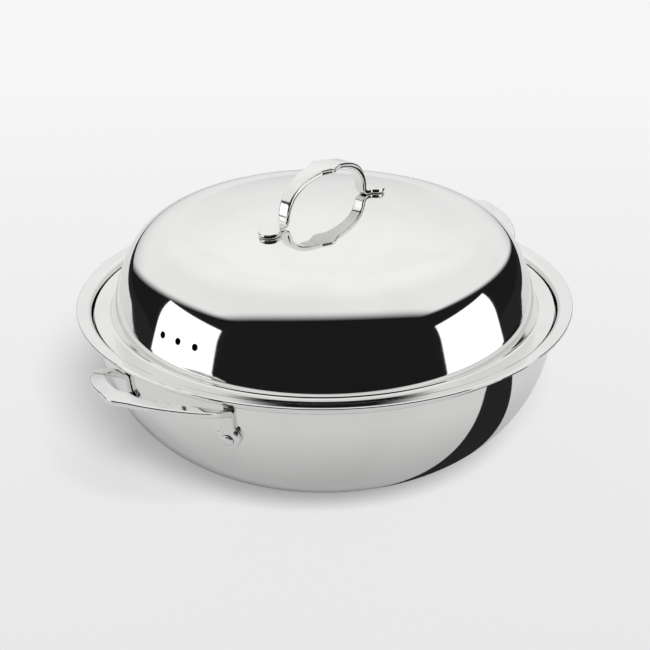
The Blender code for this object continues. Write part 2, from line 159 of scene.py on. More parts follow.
TURN_STEPS = 256
SMALL_TURN_STEPS = 48
BEND_STEPS = 10
EDGE_STEPS = 4
WALL_STEPS = 160
PROBE_STEPS = 400
SHOULDER_STEPS = 120
WALL_ROW = 0.0018
SHOULDER_ROW = WALL_ROW / 1.4
FINE_ROW = 0.0009
FLAT_ROW = 0.0060
CROWN_ROW = FLAT_ROW / 2
STRAP_ROW = 0.0007
STRAP_COLUMNS = 8
ROUND_STEPS = 5
MEDAL_STEPS = 4
WAIST_STEPS = 6
PAD_STEPS = 24
GRIP_STEPS = 90
NECK_STEPS = 16
LEG_STEPS = 24
FOOT_STEPS = 20
DOME_STEPS = 14
BUTTON_STEPS = 12
SAME_PLACE = 1e-5  # outline points nearer than this are one
WELD = 1e-6  # and so are a mesh's points
EDGE_REACH = 0.02  # only this near its edge does a sheet give way to the edge's rounding
FACE_SLACK = 0.995  # a face point at a smaller share of its offset is in a loop
SHEET_CORNER = math.radians(35)
CASTING_CORNER = math.radians(50)

# The camera: where it looks, and from where

CAMERA_SENSOR = 36.0
CAMERA_LENS = 83.19
CAMERA_DISTANCE = 1.1
CAMERA_ELEVATION = math.radians(25.155)
CAMERA_ROLL = math.radians(0.439)
CAMERA_AIM = Vector((0.000287, 0.0, 0.08765))
STUDIO = Matrix.Rotation(math.radians(-52.3), 4, "Z")
UP = Vector((0, 0, 1))


def between(a, b, share):
    return a + (b - a) * share


def spot(radius, height):
    """A point, or a direction, in the XZ plane of a turned outline."""
    return Vector((radius, 0.0, height))


def turned_out(angle, radius, height=0.0):
    """A point, or a direction, at an angle round the Z axis."""
    return Vector((radius * math.cos(angle), radius * math.sin(angle), height))


def length_of(path):
    return sum((b - a).length for a, b in zip(path, path[1:]))


def cubic(p0, p1, p2, p3, steps):
    """Points along a cubic curve, both ends included."""
    points = []
    for i in range(steps + 1):
        t = i / steps
        s = 1 - t
        points.append(p0 * s ** 3 + p1 * 3 * s * s * t + p2 * 3 * s * t * t + p3 * t ** 3)
    return points


def corner(before, at, after, radius, steps):
    """Points along the arc that rounds a corner between two straight runs."""
    inward = (before - at).normalized()
    outward = (after - at).normalized()
    half = inward.angle(outward) / 2
    centre = at + (inward + outward).normalized() * (radius / math.sin(half))
    start = at + inward * (radius / math.tan(half)) - centre
    end = at + outward * (radius / math.tan(half)) - centre
    sweep = start.angle(end)
    points = []
    for i in range(steps + 1):
        share = i / steps
        weight = math.sin(sweep)
        points.append(centre + start * (math.sin((1 - share) * sweep) / weight)
                      + end * (math.sin(share * sweep) / weight))
    return points


def arc(centre, radius, start, end, steps):
    """Points of an arc in the XZ plane, between two angles from +X."""
    angles = [between(start, end, i / steps) for i in range(steps + 1)]
    return [centre + spot(radius * math.cos(angle), radius * math.sin(angle)) for angle in angles]


def in_rows(points, row):
    """The same path with no run longer than a row."""
    filled = [points[0]]
    for a, b in zip(points, points[1:]):
        parts = max(1, math.ceil((b - a).length / row - 1e-6))
        filled += [a.lerp(b, i / parts) for i in range(1, parts + 1)]
    return without_repeats(filled)


def without_repeats(points):
    kept = [points[0]]
    for point in points[1:]:
        if (point - kept[-1]).length > SAME_PLACE:
            kept.append(point)
    return kept


# Outlines of the two pressed sheets

def sheet_face(middle, offset):
    """One face of a sheet, off its middle line, without the loops that tight bends would make."""
    face = []
    for i, point in enumerate(middle):
        way = (middle[min(i + 1, len(middle) - 1)] - middle[max(i - 1, 0)]).normalized()
        place = point + spot(-way.z, way.x) * offset
        if point.x < WELD:
            place.x = 0.0
        if min((place - other).length for other in middle) > abs(offset) * FACE_SLACK:
            face.append(place)
    return face


def sheet_outline(middle, sheet, edge_round):
    """The closed section of a sheet, from its lower face at the axis to its edge and back on top."""
    edge = middle[-1]
    way = (edge - middle[-2]).normalized()
    up = spot(-way.z, way.x)
    turn = math.atan2(way.z, way.x)
    inner = [point for point in middle
             if (point - edge).dot(way) < -edge_round or (point - edge).length > EDGE_REACH]
    inner.append(edge - way * edge_round)
    rise = sheet / 2 - edge_round
    quarter = math.pi / 2
    cap = arc(inner[-1] - up * rise, edge_round, turn - quarter, turn, EDGE_STEPS)
    cap += arc(inner[-1] + up * rise, edge_round, turn, turn + quarter, EDGE_STEPS)
    lower = sheet_face(inner, -sheet / 2)
    upper = sheet_face(inner, sheet / 2)
    return without_repeats(lower + cap + upper[::-1])


def wall_curve(steps):
    """The bowl's wall below the ledge, at mid-sheet, from the top down."""
    half = BOWL_SHEET / 2
    radius = LEDGE_RADIUS - LEDGE_WIDTH + half
    top = spot(radius, LEDGE_HEIGHT - half - SHEET_BEND)
    bottom = spot(BASE_RADIUS, half)
    turn = spot(radius - WALL_LEAN, between(top.z, bottom.z, WALL_FULLNESS))
    return cubic(top, turn, bottom, bottom, steps)


def wall_at(height):
    """Outer radius of the bowl's wall at a height, and how far its face tips down there."""
    points = wall_curve(PROBE_STEPS)
    for upper, lower in zip(points, points[1:]):
        if upper.z >= height >= lower.z:
            share = (upper.z - height) / (upper.z - lower.z)
            run = upper - lower
            tip = math.atan2(run.x, run.z)
            return between(upper.x, lower.x, share) + BOWL_SHEET / 2 / math.cos(tip), tip
    raise ValueError("no wall at this height")


def bowl_outline():
    half = BOWL_SHEET / 2
    rim = spot(RIM_RADIUS, BOWL_HEIGHT - half)
    step_top = spot(STEP_TOP_RADIUS + STEP_SHIFT, BOWL_HEIGHT - half - FLANGE_FALL)
    step_foot = spot(LEDGE_RADIUS + STEP_SHIFT, LEDGE_HEIGHT - half)
    wall = wall_curve(WALL_STEPS)
    wall_head = spot(wall[0].x, LEDGE_HEIGHT - half)
    pressed = [rim]
    pressed += corner(rim, step_top, step_foot, SHEET_BEND, BEND_STEPS)
    pressed += corner(step_top, step_foot, wall_head, STEP_FOOT_BEND, BEND_STEPS)
    pressed += corner(step_foot, wall_head, wall[0], LEDGE_BEND, BEND_STEPS)
    middle = in_rows(pressed, FINE_ROW)
    middle += spaced(wall, round(length_of(wall) / WALL_ROW))[1:]
    middle += in_rows([wall[-1], spot(0, half)], FLAT_ROW)[1:]
    return sheet_outline(middle[::-1], BOWL_SHEET, RIM_EDGE_ROUND)


def spaced(path, parts):
    """The same path with its points at even distances."""
    frames = path_frames(path)
    total = frames[-1][0]
    return [along_path(frames, total * i / parts)[0] for i in range(parts + 1)]


def crown_height(radius):
    """Height of the lid's upper face inside the shoulder."""
    return CROWN_TOP - LID_CROWN_RADIUS + math.sqrt(LID_CROWN_RADIUS ** 2 - radius ** 2)


def lid_wall():
    """Foot and head of the straight part of the lid's wall, at mid-sheet."""
    foot = spot(BRIM_RADIUS - LID_BRIM, BRIM_TOP - LID_SHEET / 2)
    up = spot(-math.cos(LID_WALL_ANGLE), math.sin(LID_WALL_ANGLE))
    return foot, foot + up * (LID_WALL_HEIGHT / up.z)


def lid_outline():
    half = LID_SHEET / 2
    foot, head = lid_wall()
    crown_edge = head.x - LID_SHOULDER
    crown_rows = round(crown_edge / CROWN_ROW)
    crown = [crown_edge * i / crown_rows for i in range(crown_rows + 1)]
    middle = [spot(radius, crown_height(radius) - half) for radius in crown]
    top = middle[-1]
    fall = spot(1, -crown_edge / LID_CROWN_RADIUS)
    hold = (head - foot).normalized() * (top.z - head.z) * SHOULDER_FULLNESS
    shoulder = cubic(top, top + fall * SHOULDER_EASE, head + hold, head, SHOULDER_STEPS)
    middle += spaced(shoulder, round(length_of(shoulder) / SHOULDER_ROW))[1:]
    edge = spot(BRIM_RADIUS, foot.z + BRIM_LIFT)
    shares = [i / BEND_STEPS for i in range(BEND_STEPS + 1)]
    tucked = [head.lerp(foot, share) - spot(FOOT_TUCK * share ** 2, 0) for share in shares]
    wall = in_rows(tucked, WALL_ROW)
    bend = corner(wall[-2], wall[-1], edge, LID_FOOT_BEND, BEND_STEPS)
    middle += [point for point in wall[1:] if point.z > bend[0].z + FINE_ROW / 2]
    middle += bend
    middle += in_rows([bend[-1], edge], FINE_ROW)[1:]
    return sheet_outline(middle, LID_SHEET, BRIM_EDGE_ROUND)


# Paths: places and directions along a line of points

def path_frames(path):
    """Each point of a path as its distance from the start, its place and the way the path goes."""
    frames = []
    distance = 0.0
    for i, point in enumerate(path):
        if i:
            distance += (point - path[i - 1]).length
        way = (path[min(i + 1, len(path) - 1)] - path[max(i - 1, 0)]).normalized()
        frames.append((distance, point, way))
    return frames


def along_path(frames, distance):
    """Place and way at a distance along a path."""
    after = bisect_right([frame[0] for frame in frames], distance)
    after = min(max(after, 1), len(frames) - 1)
    (start, place, way), (end, next_place, next_way) = frames[after - 1], frames[after]
    share = (distance - start) / (end - start)
    return place.lerp(next_place, share), way.lerp(next_way, share).normalized()


# Node tree helpers

def add(tree, kind, values=None, **settings):
    """A node with its settings, and its inputs set to values or joined to other nodes' outputs."""
    node = tree.nodes.new(kind)
    for name, value in settings.items():
        setattr(node, name, value)
    for name, value in (values or {}).items():
        if isinstance(value, bpy.types.NodeSocket):
            tree.links.new(value, node.inputs[name])
        else:
            node.inputs[name].default_value = value
    return node


def out(tree, kind, values=None, **settings):
    """The first output of such a node."""
    return add(tree, kind, values, **settings).outputs[0]


def maths(tree, operation, *values):
    """The result of one sum, of numbers or outputs."""
    return out(tree, "ShaderNodeMath", dict(enumerate(values)), operation=operation)


def whole(tree, operation, *values):
    """The result of one sum of whole numbers."""
    return out(tree, "FunctionNodeIntegerMath", dict(enumerate(values)), operation=operation)


def mapped(tree, value, start, end, first=0.0, last=1.0, smooth=False):
    """From first to last, as a value goes from start to end."""
    ends = {"Value": value, "From Min": start, "From Max": end, "To Min": first, "To Max": last}
    way = "SMOOTHSTEP" if smooth else "LINEAR"
    return out(tree, "ShaderNodeMapRange", ends, interpolation_type=way)


def noise(tree, place, scale, **values):
    return out(tree, "ShaderNodeTexNoise", {"Vector": place, "Scale": scale, **values})


def named_socket(tree, name, kind, way="INPUT", value=None):
    socket = tree.interface.new_socket(name, in_out=way, socket_type="NodeSocket" + kind)
    if value is not None:
        socket.default_value = value


def shape_tree(name, **inputs):
    """A Geometry Nodes tree with a geometry in and out, and named inputs for sizes and finish."""
    tree = bpy.data.node_groups.new(name, "GeometryNodeTree")
    for label, kind in {"Geometry": "Geometry", **inputs, "Finish": "Material"}.items():
        named_socket(tree, label, kind)
    named_socket(tree, "Geometry", "Geometry", "OUTPUT")
    return tree, tree.nodes.new("NodeGroupInput").outputs


def finish_tree(tree, geometry, finish):
    """Real smooth faces with one finish, as the tree's result."""
    real = out(tree, "GeometryNodeRealizeInstances", {"Geometry": geometry})
    smooth = out(tree, "GeometryNodeSetShadeSmooth", {"Geometry": real})
    finished = out(tree, "GeometryNodeSetMaterial", {"Geometry": smooth, "Material": finish})
    add(tree, "NodeGroupOutput", {"Geometry": finished})
    return tree


def turned_tree():
    """Turns an outline of points about the Z axis into a closed skin."""
    tree, given = shape_tree("turned from an outline", Steps="Int")
    outline = given["Geometry"]
    points = add(tree, "GeometryNodeAttributeDomainSize", {"Geometry": outline}).outputs["Point Count"]
    columns = whole(tree, "ADD", given["Steps"], 1)
    grid = out(tree, "GeometryNodeMeshGrid", {"Vertices X": columns, "Vertices Y": points})
    index = out(tree, "GeometryNodeInputIndex")
    row = whole(tree, "MODULO", index, points)
    column = whole(tree, "DIVIDE_FLOOR", index, points)
    place = out(tree, "GeometryNodeInputPosition")
    sampled = out(tree, "GeometryNodeSampleIndex", {"Geometry": outline, "Value": place, "Index": row},
                  data_type="FLOAT_VECTOR")
    angle = maths(tree, "MULTIPLY", maths(tree, "DIVIDE", column, given["Steps"]), math.tau)
    spun = out(tree, "ShaderNodeVectorRotate", {"Vector": sampled, "Angle": angle}, rotation_type="Z_AXIS")
    skin = out(tree, "GeometryNodeSetPosition", {"Geometry": grid, "Position": spun})
    closed = out(tree, "GeometryNodeMergeByDistance", {"Geometry": skin, "Distance": WELD})
    return finish_tree(tree, closed, given["Finish"])


def facing_turn(tree):
    """The turn that takes local Z along each point's own direction."""
    facing = out(tree, "GeometryNodeInputNamedAttribute", {"Name": "facing"}, data_type="FLOAT_VECTOR")
    return out(tree, "FunctionNodeAlignRotationToVector", {"Vector": facing}, axis="Z")


def drilled_tree():
    """Drills round holes through a sheet, at points that hold their own radius and direction."""
    tree, given = shape_tree("drilled", Holes="Object", Depth="Float", Sides="Int")
    holes = add(tree, "GeometryNodeObjectInfo", {"Object": given["Holes"]}).outputs["Geometry"]
    bit = {"Vertices": given["Sides"], "Radius": 1.0, "Depth": given["Depth"]}
    drill_bit = out(tree, "GeometryNodeMeshCylinder", bit)
    radius = out(tree, "GeometryNodeInputNamedAttribute", {"Name": "radius"}, data_type="FLOAT")
    size = out(tree, "ShaderNodeCombineXYZ", {"X": radius, "Y": radius, "Z": 1.0})
    drills = out(tree, "GeometryNodeInstanceOnPoints", {
        "Points": holes, "Instance": drill_bit, "Rotation": facing_turn(tree), "Scale": size})
    solid = out(tree, "GeometryNodeRealizeInstances", {"Geometry": drills})
    cut = out(tree, "GeometryNodeMeshBoolean", {"Mesh 1": given["Geometry"], "Mesh 2": solid},
              operation="DIFFERENCE", solver="EXACT")
    return finish_tree(tree, cut, given["Finish"])


def set_out_tree():
    """Sets one turned piece on each of several points, square to the face there."""
    tree, given = shape_tree("set out", Piece="Object")
    piece = add(tree, "GeometryNodeObjectInfo", {"Object": given["Piece"]}).outputs["Geometry"]
    place = out(tree, "GeometryNodeInputPosition")
    marked = out(tree, "GeometryNodeStoreNamedAttribute", {
        "Geometry": piece, "Name": "own_place", "Value": place}, data_type="FLOAT_VECTOR")
    pieces = out(tree, "GeometryNodeInstanceOnPoints", {
        "Points": given["Geometry"], "Instance": marked, "Rotation": facing_turn(tree)})
    return finish_tree(tree, pieces, given["Finish"])


TURNED = turned_tree()
DRILLED = drilled_tree()
SET_OUT = set_out_tree()


def shaped(piece, tree, **inputs):
    """Runs a piece through a Geometry Nodes tree, and keeps the result as its plain mesh."""
    modifier = piece.modifiers.new(tree.name, "NODES")
    modifier.node_group = tree
    sockets = [item for item in tree.interface.items_tree if item.in_out == "INPUT"]
    identifiers = {socket.name: socket.identifier for socket in sockets}
    for name, value in inputs.items():
        modifier[identifiers[name]] = value
    piece.update_tag()
    bpy.context.view_layer.update()
    ready = piece.evaluated_get(bpy.context.evaluated_depsgraph_get())
    mesh = bpy.data.meshes.new_from_object(ready)
    piece.modifiers.remove(modifier)
    piece.data = mesh
    return piece


def new_piece(name, mesh):
    piece = bpy.data.objects.new(name, mesh)
    bpy.context.scene.collection.objects.link(piece)
    return piece


def new_mesh(name, points, edges=(), faces=()):
    mesh = bpy.data.meshes.new(name)
    mesh.from_pydata([tuple(point) for point in points], edges, faces)
    return mesh


def turned_piece(name, outline, steps, finish):
    runs = [(i, i + 1) for i in range(len(outline) - 1)]
    piece = new_piece(name, new_mesh(name, outline, runs))
    return shaped(piece, TURNED, Steps=steps, Finish=finish)


def marked_points(name, places, radius=0.0):
    """Points with a direction each, from placements whose local Z is that direction."""
    mesh = new_mesh(name, [place.translation for place in places])
    facing = mesh.attributes.new("facing", "FLOAT_VECTOR", "POINT")
    for i, place in enumerate(places):
        facing.data[i].vector = place.to_3x3() @ UP
    width = mesh.attributes.new("radius", "FLOAT", "POINT")
    width.data.foreach_set("value", [radius] * len(places))
    return new_piece(name, mesh)


def drill(piece, places, radius, depth, finish):
    holes = marked_points("holes", places, radius)
    shaped(piece, DRILLED, Holes=holes, Depth=depth, Sides=SMALL_TURN_STEPS, Finish=finish)
    bpy.data.objects.remove(holes)


def closed_and_outward(piece, sharp_from=SHEET_CORNER):
    """Turns every face outward, and keeps real corners crisp on the smooth surface."""
    shape = bmesh.new()
    shape.from_mesh(piece.data)
    bmesh.ops.remove_doubles(shape, verts=shape.verts, dist=WELD / 10)
    bmesh.ops.recalc_face_normals(shape, faces=shape.faces)
    shape.to_mesh(piece.data)
    shape.free()
    piece.data.shade_smooth()
    piece.data.set_sharp_from_angle(angle=sharp_from)
    return piece


def along(point, direction):
    """A placement at a point, with local Z along a direction."""
    return Matrix.Translation(point) @ direction.to_track_quat("Z", "Y").to_matrix().to_4x4()


# Places on the wok

SIDES = {"right": Matrix.Identity(4), "left": Matrix.Rotation(math.pi, 4, "Z")}
ON_LID = Matrix.Rotation(math.pi / 2 + LID_TURN, 4, "Z")


def rivet_angle():
    return math.asin(RIVET_SPREAD / wall_at(RIVET_HEIGHT)[0])


def on_wall(angle, height, off):
    """A place off the bowl's outer face, at an angle round from the handle's middle."""
    radius, tip = wall_at(height)
    return turned_out(angle, radius + off * math.cos(tip), height - off * math.sin(tip))


def rivet_places():
    """All four rivets' places on the bowl's outer face, square to it."""
    _, tip = wall_at(RIVET_HEIGHT)
    places = []
    for side in SIDES.values():
        for angle in (rivet_angle(), -rivet_angle()):
            normal = turned_out(angle, math.cos(tip), -math.sin(tip))
            places.append(side @ along(on_wall(angle, RIVET_HEIGHT, 0), normal))
    return places


def stud_places():
    """Both studs' places on the lid's upper face, square to it."""
    places = []
    for across in (FOOT_PLACE, -FOOT_PLACE):
        normal = Vector((0, across, math.sqrt(LID_CROWN_RADIUS ** 2 - across ** 2))).normalized()
        places.append(ON_LID @ along(Vector((0, across, crown_height(across))), normal))
    return places


def vent_places():
    """The steam vents, in a level row on the lid's wall."""
    foot, head = lid_wall()
    height = BRIM_TOP + VENT_HEIGHT
    radius = between(foot.x, head.x, (height - foot.z) / (head.z - foot.z))
    turned = Matrix.Rotation(LID_TURN, 4, "Z")
    places = []
    for i in range(VENT_COUNT):
        angle = math.pi + (i - (VENT_COUNT - 1) / 2) * VENT_PITCH / radius
        normal = turned_out(angle, math.sin(LID_WALL_ANGLE), math.cos(LID_WALL_ANGLE))
        places.append(turned @ along(turned_out(angle, radius, height), normal))
    return places


# Cast straps

def strap_outline(widths, arm_end, neck_start, pad_place, pad_radius):
    """Half of a strap laid flat: half its width against distance from mid-span, to its pad's tip."""
    full, waist, arm, neck = widths
    sections = ((0, full), (MEDAL_FLAT, full), (MEDAL_FLAT + MEDAL_SLOPE, waist),
                (arm_end, arm), (neck_start, neck))
    points = [spot(distance, width / 2) for distance, width in sections]
    outline = [points[0]]
    outline += corner(points[0], points[1], points[2], MEDAL_ROUND, MEDAL_STEPS)
    outline += corner(points[1], points[2], points[3], WAIST_ROUND, WAIST_STEPS)
    outline += points[3:]
    meet = neck / 2 + PAD_FILLET
    run = math.sqrt((pad_radius + PAD_FILLET) ** 2 - meet ** 2)
    fillet = spot(pad_place - run, meet)
    meeting = math.atan2(meet, -run)
    outline += arc(fillet, PAD_FILLET, -math.pi / 2, meeting - math.pi, WAIST_STEPS)
    outline += arc(spot(pad_place, 0), pad_radius, meeting, 0, PAD_STEPS)
    return in_rows(without_repeats(outline), STRAP_ROW)


def strap_mesh(name, path, side_of, outline, faces_at):
    """A cast strap: a flat outline with rounded edges, bent along its path and mirrored at mid-span.

    side_of gives the crosswise direction from a place and the path's way there, and faces_at
    gives the heights of the lower and the upper face at a distance from mid-span.
    """
    frames = path_frames(path)
    half = [Vector((point.x, point.z)) for point in outline]
    edge = [Vector((-point.x, point.y)) for point in reversed(half)][:-1] + half
    last = len(edge) - 1
    ring = edge + [Vector((point.x, -point.y)) for point in reversed(edge[1:-1])]
    inward = []
    for i in range(last + 1):
        way = (ring[i + 1] - ring[i - 1]).normalized()
        inward.append(Vector((way.y, -way.x)))

    def in_space(flat, height):
        distance = abs(flat.x)
        place, way = along_path(frames, distance)
        if distance < WELD:
            way = Vector((0, 1, 0))
        side = side_of(place, way)
        point = place + side * flat.y + side.cross(way).normalized() * height
        if flat.x < 0:
            point.y = -point.y
        return point

    mesh = bpy.data.meshes.new(name)
    shape = bmesh.new()
    laid = shape.verts.layers.float_vector.new("on_strap")

    def vertex(flat, height):
        made = shape.verts.new(in_space(flat, height))
        made[laid] = Vector((flat.x, flat.y, height))
        return made

    rings = []
    for quarter in range(-ROUND_STEPS, ROUND_STEPS + 2):
        upper = quarter > 0
        angle = math.radians(90) * (quarter - 1 if upper else quarter) / ROUND_STEPS
        inset = 1 - math.cos(angle)
        drop = 1 - abs(math.sin(angle))
        around = []
        for i in list(range(last + 1)) + list(range(last - 1, 0, -1)):
            low, high = faces_at(abs(edge[i].x))
            rounding = STRAP_ROUND * (high - low) / 2
            flat = edge[i] + inward[i] * inset * rounding
            if len(around) > last:
                flat = Vector((flat.x, -flat.y))
            around.append(vertex(flat, high - drop * rounding if upper else low + drop * rounding))
        rings.append(around)
    for below, above in zip(rings, rings[1:]):
        for i in range(len(below)):
            following = (i + 1) % len(below)
            shape.faces.new((below[i], below[following], above[following], above[i]))
    for around in (rings[0], rings[-1]):
        rows = []
        for i in range(1, last):
            one, other = around[i], around[-i]
            row = [one]
            for j in range(1, STRAP_COLUMNS):
                flat = Vector(one[laid]).lerp(Vector(other[laid]), j / STRAP_COLUMNS)
                row.append(vertex(flat.xy, flat.z))
            rows.append(row + [other])
        for tip, row in ((around[0], rows[0]), (around[last], rows[-1])):
            for a, b in zip(row, row[1:]):
                shape.faces.new((tip, a, b))
        for row, next_row in zip(rows, rows[1:]):
            for j in range(STRAP_COLUMNS):
                shape.faces.new((row[j], row[j + 1], next_row[j + 1], next_row[j]))
    shape.to_mesh(mesh)
    shape.free()
    return mesh


def smooth_step(low, high, value):
    share = min(1.0, max(0.0, (value - low) / (high - low)))
    return share * share * (3 - 2 * share)


def side_path():
    """The side handle's strap from mid-grip to the tip of its pad, at mid-thickness."""
    angle = rivet_angle()
    outward = turned_out(angle, 1.0)
    off = GAP + SIDE_THICK / 2
    neck_height = BOWL_HEIGHT - NECK_DROP
    neck = on_wall(angle, neck_height, off)
    arm_way = outward * math.cos(NECK_RISE) + UP * math.sin(NECK_RISE)
    arm = neck + arm_way * NECK_RUN
    leg_top = on_wall(angle, neck_height - NECK_LEG, off)
    middle = Vector((RIM_RADIUS + GRIP_REACH, 0, BOWL_HEIGHT + GRIP_LIFT))
    held = arm + outward * ARM_HOLD + UP * ARM_CLIMB
    path = cubic(middle, middle + Vector((0, GRIP_HOLD, 0)), held, arm, GRIP_STEPS)
    path += corner(arm, neck, leg_top, NECK_BEND, NECK_STEPS)
    leg_end = RIVET_HEIGHT - PAD_RADIUS * PAD_OVERRUN
    heights = [between(leg_top.z, leg_end, i / LEG_STEPS) for i in range(1, LEG_STEPS + 1)]
    path += [on_wall(angle, height, off) for height in heights]
    return without_repeats(path)


def side_across(place, way):
    """Level and square to the strap's way, but tipped up towards mid-grip."""
    across = Vector((way.y, -way.x, 0)).normalized()
    tilt = GRIP_TILT * max(0.0, across.x) ** 2
    return across * math.cos(tilt) + UP * math.sin(tilt)


def side_handle_mesh():
    path = side_path()
    lowest = path[-1].z
    tip = wall_at(RIVET_HEIGHT)[1]
    pad_place = length_of(path) - (RIVET_HEIGHT - lowest) / math.cos(tip)
    neck_start = pad_place - (RIVET_DROP - NECK_DROP) / math.cos(tip) - NECK_RUN
    outline = strap_outline(SIDE_WIDTHS, neck_start - ARM_HOLD, neck_start, pad_place, PAD_RADIUS)
    swell_from, swell_to = [pad_place - PAD_RADIUS * share for share in PAD_SWELL]

    def faces_at(distance):
        growth = smooth_step(swell_from, swell_to, distance)
        return SIDE_THICK / 2 - between(SIDE_THICK, PAD_THICK, growth), SIDE_THICK / 2

    return strap_mesh("side_handle", path, side_across, outline, faces_at)


def lid_handle_path():
    """The lid handle's strap, mid-arch to the tip of its pad, at mid-thickness in the YZ plane."""
    top = CROWN_TOP + ARCH_HEIGHT - ARCH_THICK / 2
    span = ARCH_HALF_SPAN - FOOT_THICK / 2

    def place(across, height):
        return Vector((0, across, height))

    def on_crown(across):
        return place(across, crown_height(across) + GAP + FOOT_THICK / 2)

    leg_foot = place(span, on_crown(span).z + ARCH_FOOT_RISE)
    leg_hold = leg_foot + Vector((0, -ARCH_LEAN, ARCH_LEG))
    path = cubic(place(0, top), place(ARCH_HOLD, top), leg_hold, leg_foot, GRIP_STEPS)
    bend = corner(leg_foot, on_crown(span), on_crown(FOOT_PLACE), FOOT_BEND, NECK_STEPS)
    path += bend
    end = FOOT_PLACE + FOOT_RADIUS * PAD_OVERRUN
    path += [on_crown(between(bend[-1].y, end, i / FOOT_STEPS)) for i in range(1, FOOT_STEPS + 1)]
    return without_repeats(path)


def lid_handle_mesh():
    path = lid_handle_path()
    pad_place = length_of(path) - FOOT_RADIUS * PAD_OVERRUN
    neck_start = pad_place - (FOOT_PLACE - ARCH_HALF_SPAN)
    outline = strap_outline(LID_WIDTHS, neck_start - ARCH_LEG, neck_start, pad_place, FOOT_RADIUS)
    leg_foot = neck_start - ARCH_FOOT_RISE

    def faces_at(distance):
        thinned = smooth_step(leg_foot - ARCH_LEG, leg_foot, distance)
        half = between(ARCH_THICK, FOOT_THICK, thinned) / 2
        return -half, half

    return strap_mesh("lid_handle", path, lambda *_: Vector((1, 0, 0)), outline, faces_at)


# Rivets and studs

def button(radius, rise, seat):
    """Half the outline of a low round button that hangs from a seat."""
    low = seat - rise
    flat = spot(radius * BUTTON_FLAT, low)
    return cubic(spot(radius, seat), spot(radius, low), flat, spot(0, low), BUTTON_STEPS)


def rivet_outline():
    """Half a rivet: its head outside the pad, its shank, and its tail inside the bowl."""
    seat = GAP + PAD_THICK + GAP
    top = seat + RIVET_HEAD_RISE
    tail = -BOWL_SHEET - GAP - RIVET_TAIL_SEAT
    dome = cubic(spot(0, top), spot(RIVET_HEAD * BUTTON_FLAT, top),
                 spot(RIVET_HEAD, seat + RIVET_HEAD_RISE * HEAD_EDGE), spot(RIVET_HEAD, seat), DOME_STEPS)
    shank = [spot(RIVET_SHANK, seat), spot(RIVET_SHANK, tail)]
    return dome + shank + button(RIVET_TAIL, RIVET_TAIL_RISE, tail)


def stud_outline():
    """Half a stud: its shank up into the foot, and its button under the lid."""
    under = -LID_SHEET - GAP
    shank = [spot(0, STUD_DEPTH), spot(STUD_SHANK, STUD_DEPTH), spot(STUD_SHANK, under)]
    return shank + button(STUD_BUTTON, STUD_BUTTON_RISE, under)


# Effects that several finishes share

HAIRLINE_TURNS = ((0.3, 0.9, 0.4), (1.2, 0.2, 2.1), (2.0, 1.5, 0.9))
HAIRLINE_DRAW = 0.03  # how much less often the noise changes along a hairline than across it
HAIRLINE_WIDTH = 0.02
PATCHES_PER_METRE = 60.0


def effect(name, output, inputs):
    """A shader node group with a place to read, named number inputs, and one named output."""
    tree = bpy.data.node_groups.new(name, "ShaderNodeTree")
    named_socket(tree, "Place", "Vector")
    for label, value in inputs.items():
        named_socket(tree, label, "Float", value=value)
    named_socket(tree, output, "Float", "OUTPUT")
    return tree, tree.nodes.new("NodeGroupInput").outputs


def spun_rings():
    """Fine rings round the axis, as a spinning wheel leaves them, that fade in and out."""
    tree, given = effect("spun rings", "Height", {"Per metre": 2500.0, "Breaks": 1.5})
    parts = add(tree, "ShaderNodeSeparateXYZ", {"Vector": given["Place"]}).outputs
    across = maths(tree, "POWER", parts["X"], 2.0)
    deep = maths(tree, "POWER", parts["Y"], 2.0)
    radius = maths(tree, "SQRT", maths(tree, "ADD", across, deep))
    angle = maths(tree, "ARCTAN2", parts["Y"], parts["X"])
    ring = out(tree, "ShaderNodeCombineXYZ", {
        "X": maths(tree, "MULTIPLY", radius, given["Per metre"]),
        "Y": maths(tree, "MULTIPLY", parts["Z"], given["Per metre"]),
        "Z": maths(tree, "MULTIPLY", maths(tree, "COSINE", angle), given["Breaks"])})
    add(tree, "NodeGroupOutput", {"Height": noise(tree, ring, 1.0, Detail=3.0, Roughness=0.6)})
    return tree


def hairlines():
    """Thin scratches that cross at odd angles, as wiping and washing leave them."""
    tree, given = effect("hairlines", "Mask", {"Per metre": 900.0, "Share": 0.35})
    lines = None
    for i, turn in enumerate(HAIRLINE_TURNS):
        turned = out(tree, "ShaderNodeVectorRotate", {"Vector": given["Place"], "Rotation": turn},
                     rotation_type="EULER_XYZ")
        drawn = out(tree, "ShaderNodeMapping", {"Vector": turned, "Scale": (1.0, 1.0, HAIRLINE_DRAW)})
        bent = noise(tree, drawn, given["Per metre"], Detail=1.0, Distortion=0.4 + 0.2 * i)
        bow = maths(tree, "ABSOLUTE", maths(tree, "SUBTRACT", bent, 0.5))
        line = mapped(tree, bow, HAIRLINE_WIDTH, 0.0)
        lines = line if lines is None else maths(tree, "MAXIMUM", lines, line)
    cloud = noise(tree, given["Place"], PATCHES_PER_METRE)
    edge = maths(tree, "SUBTRACT", 1.0, given["Share"])
    patch = mapped(tree, cloud, maths(tree, "MULTIPLY", edge, 0.6), 0.75)
    add(tree, "NodeGroupOutput", {"Mask": maths(tree, "MULTIPLY", lines, patch)})
    return tree


def handling():
    """Soft clouds where hands and cloths have dulled the polish."""
    tree, given = effect("handling", "Mask", {"Per metre": 18.0})
    cloud = noise(tree, given["Place"], given["Per metre"], Detail=4.0, Roughness=0.55, Distortion=0.6)
    add(tree, "NodeGroupOutput", {"Mask": mapped(tree, cloud, 0.38, 0.72, smooth=True)})
    return tree


RINGS = spun_rings()
HAIRLINES = hairlines()
HANDLING = handling()


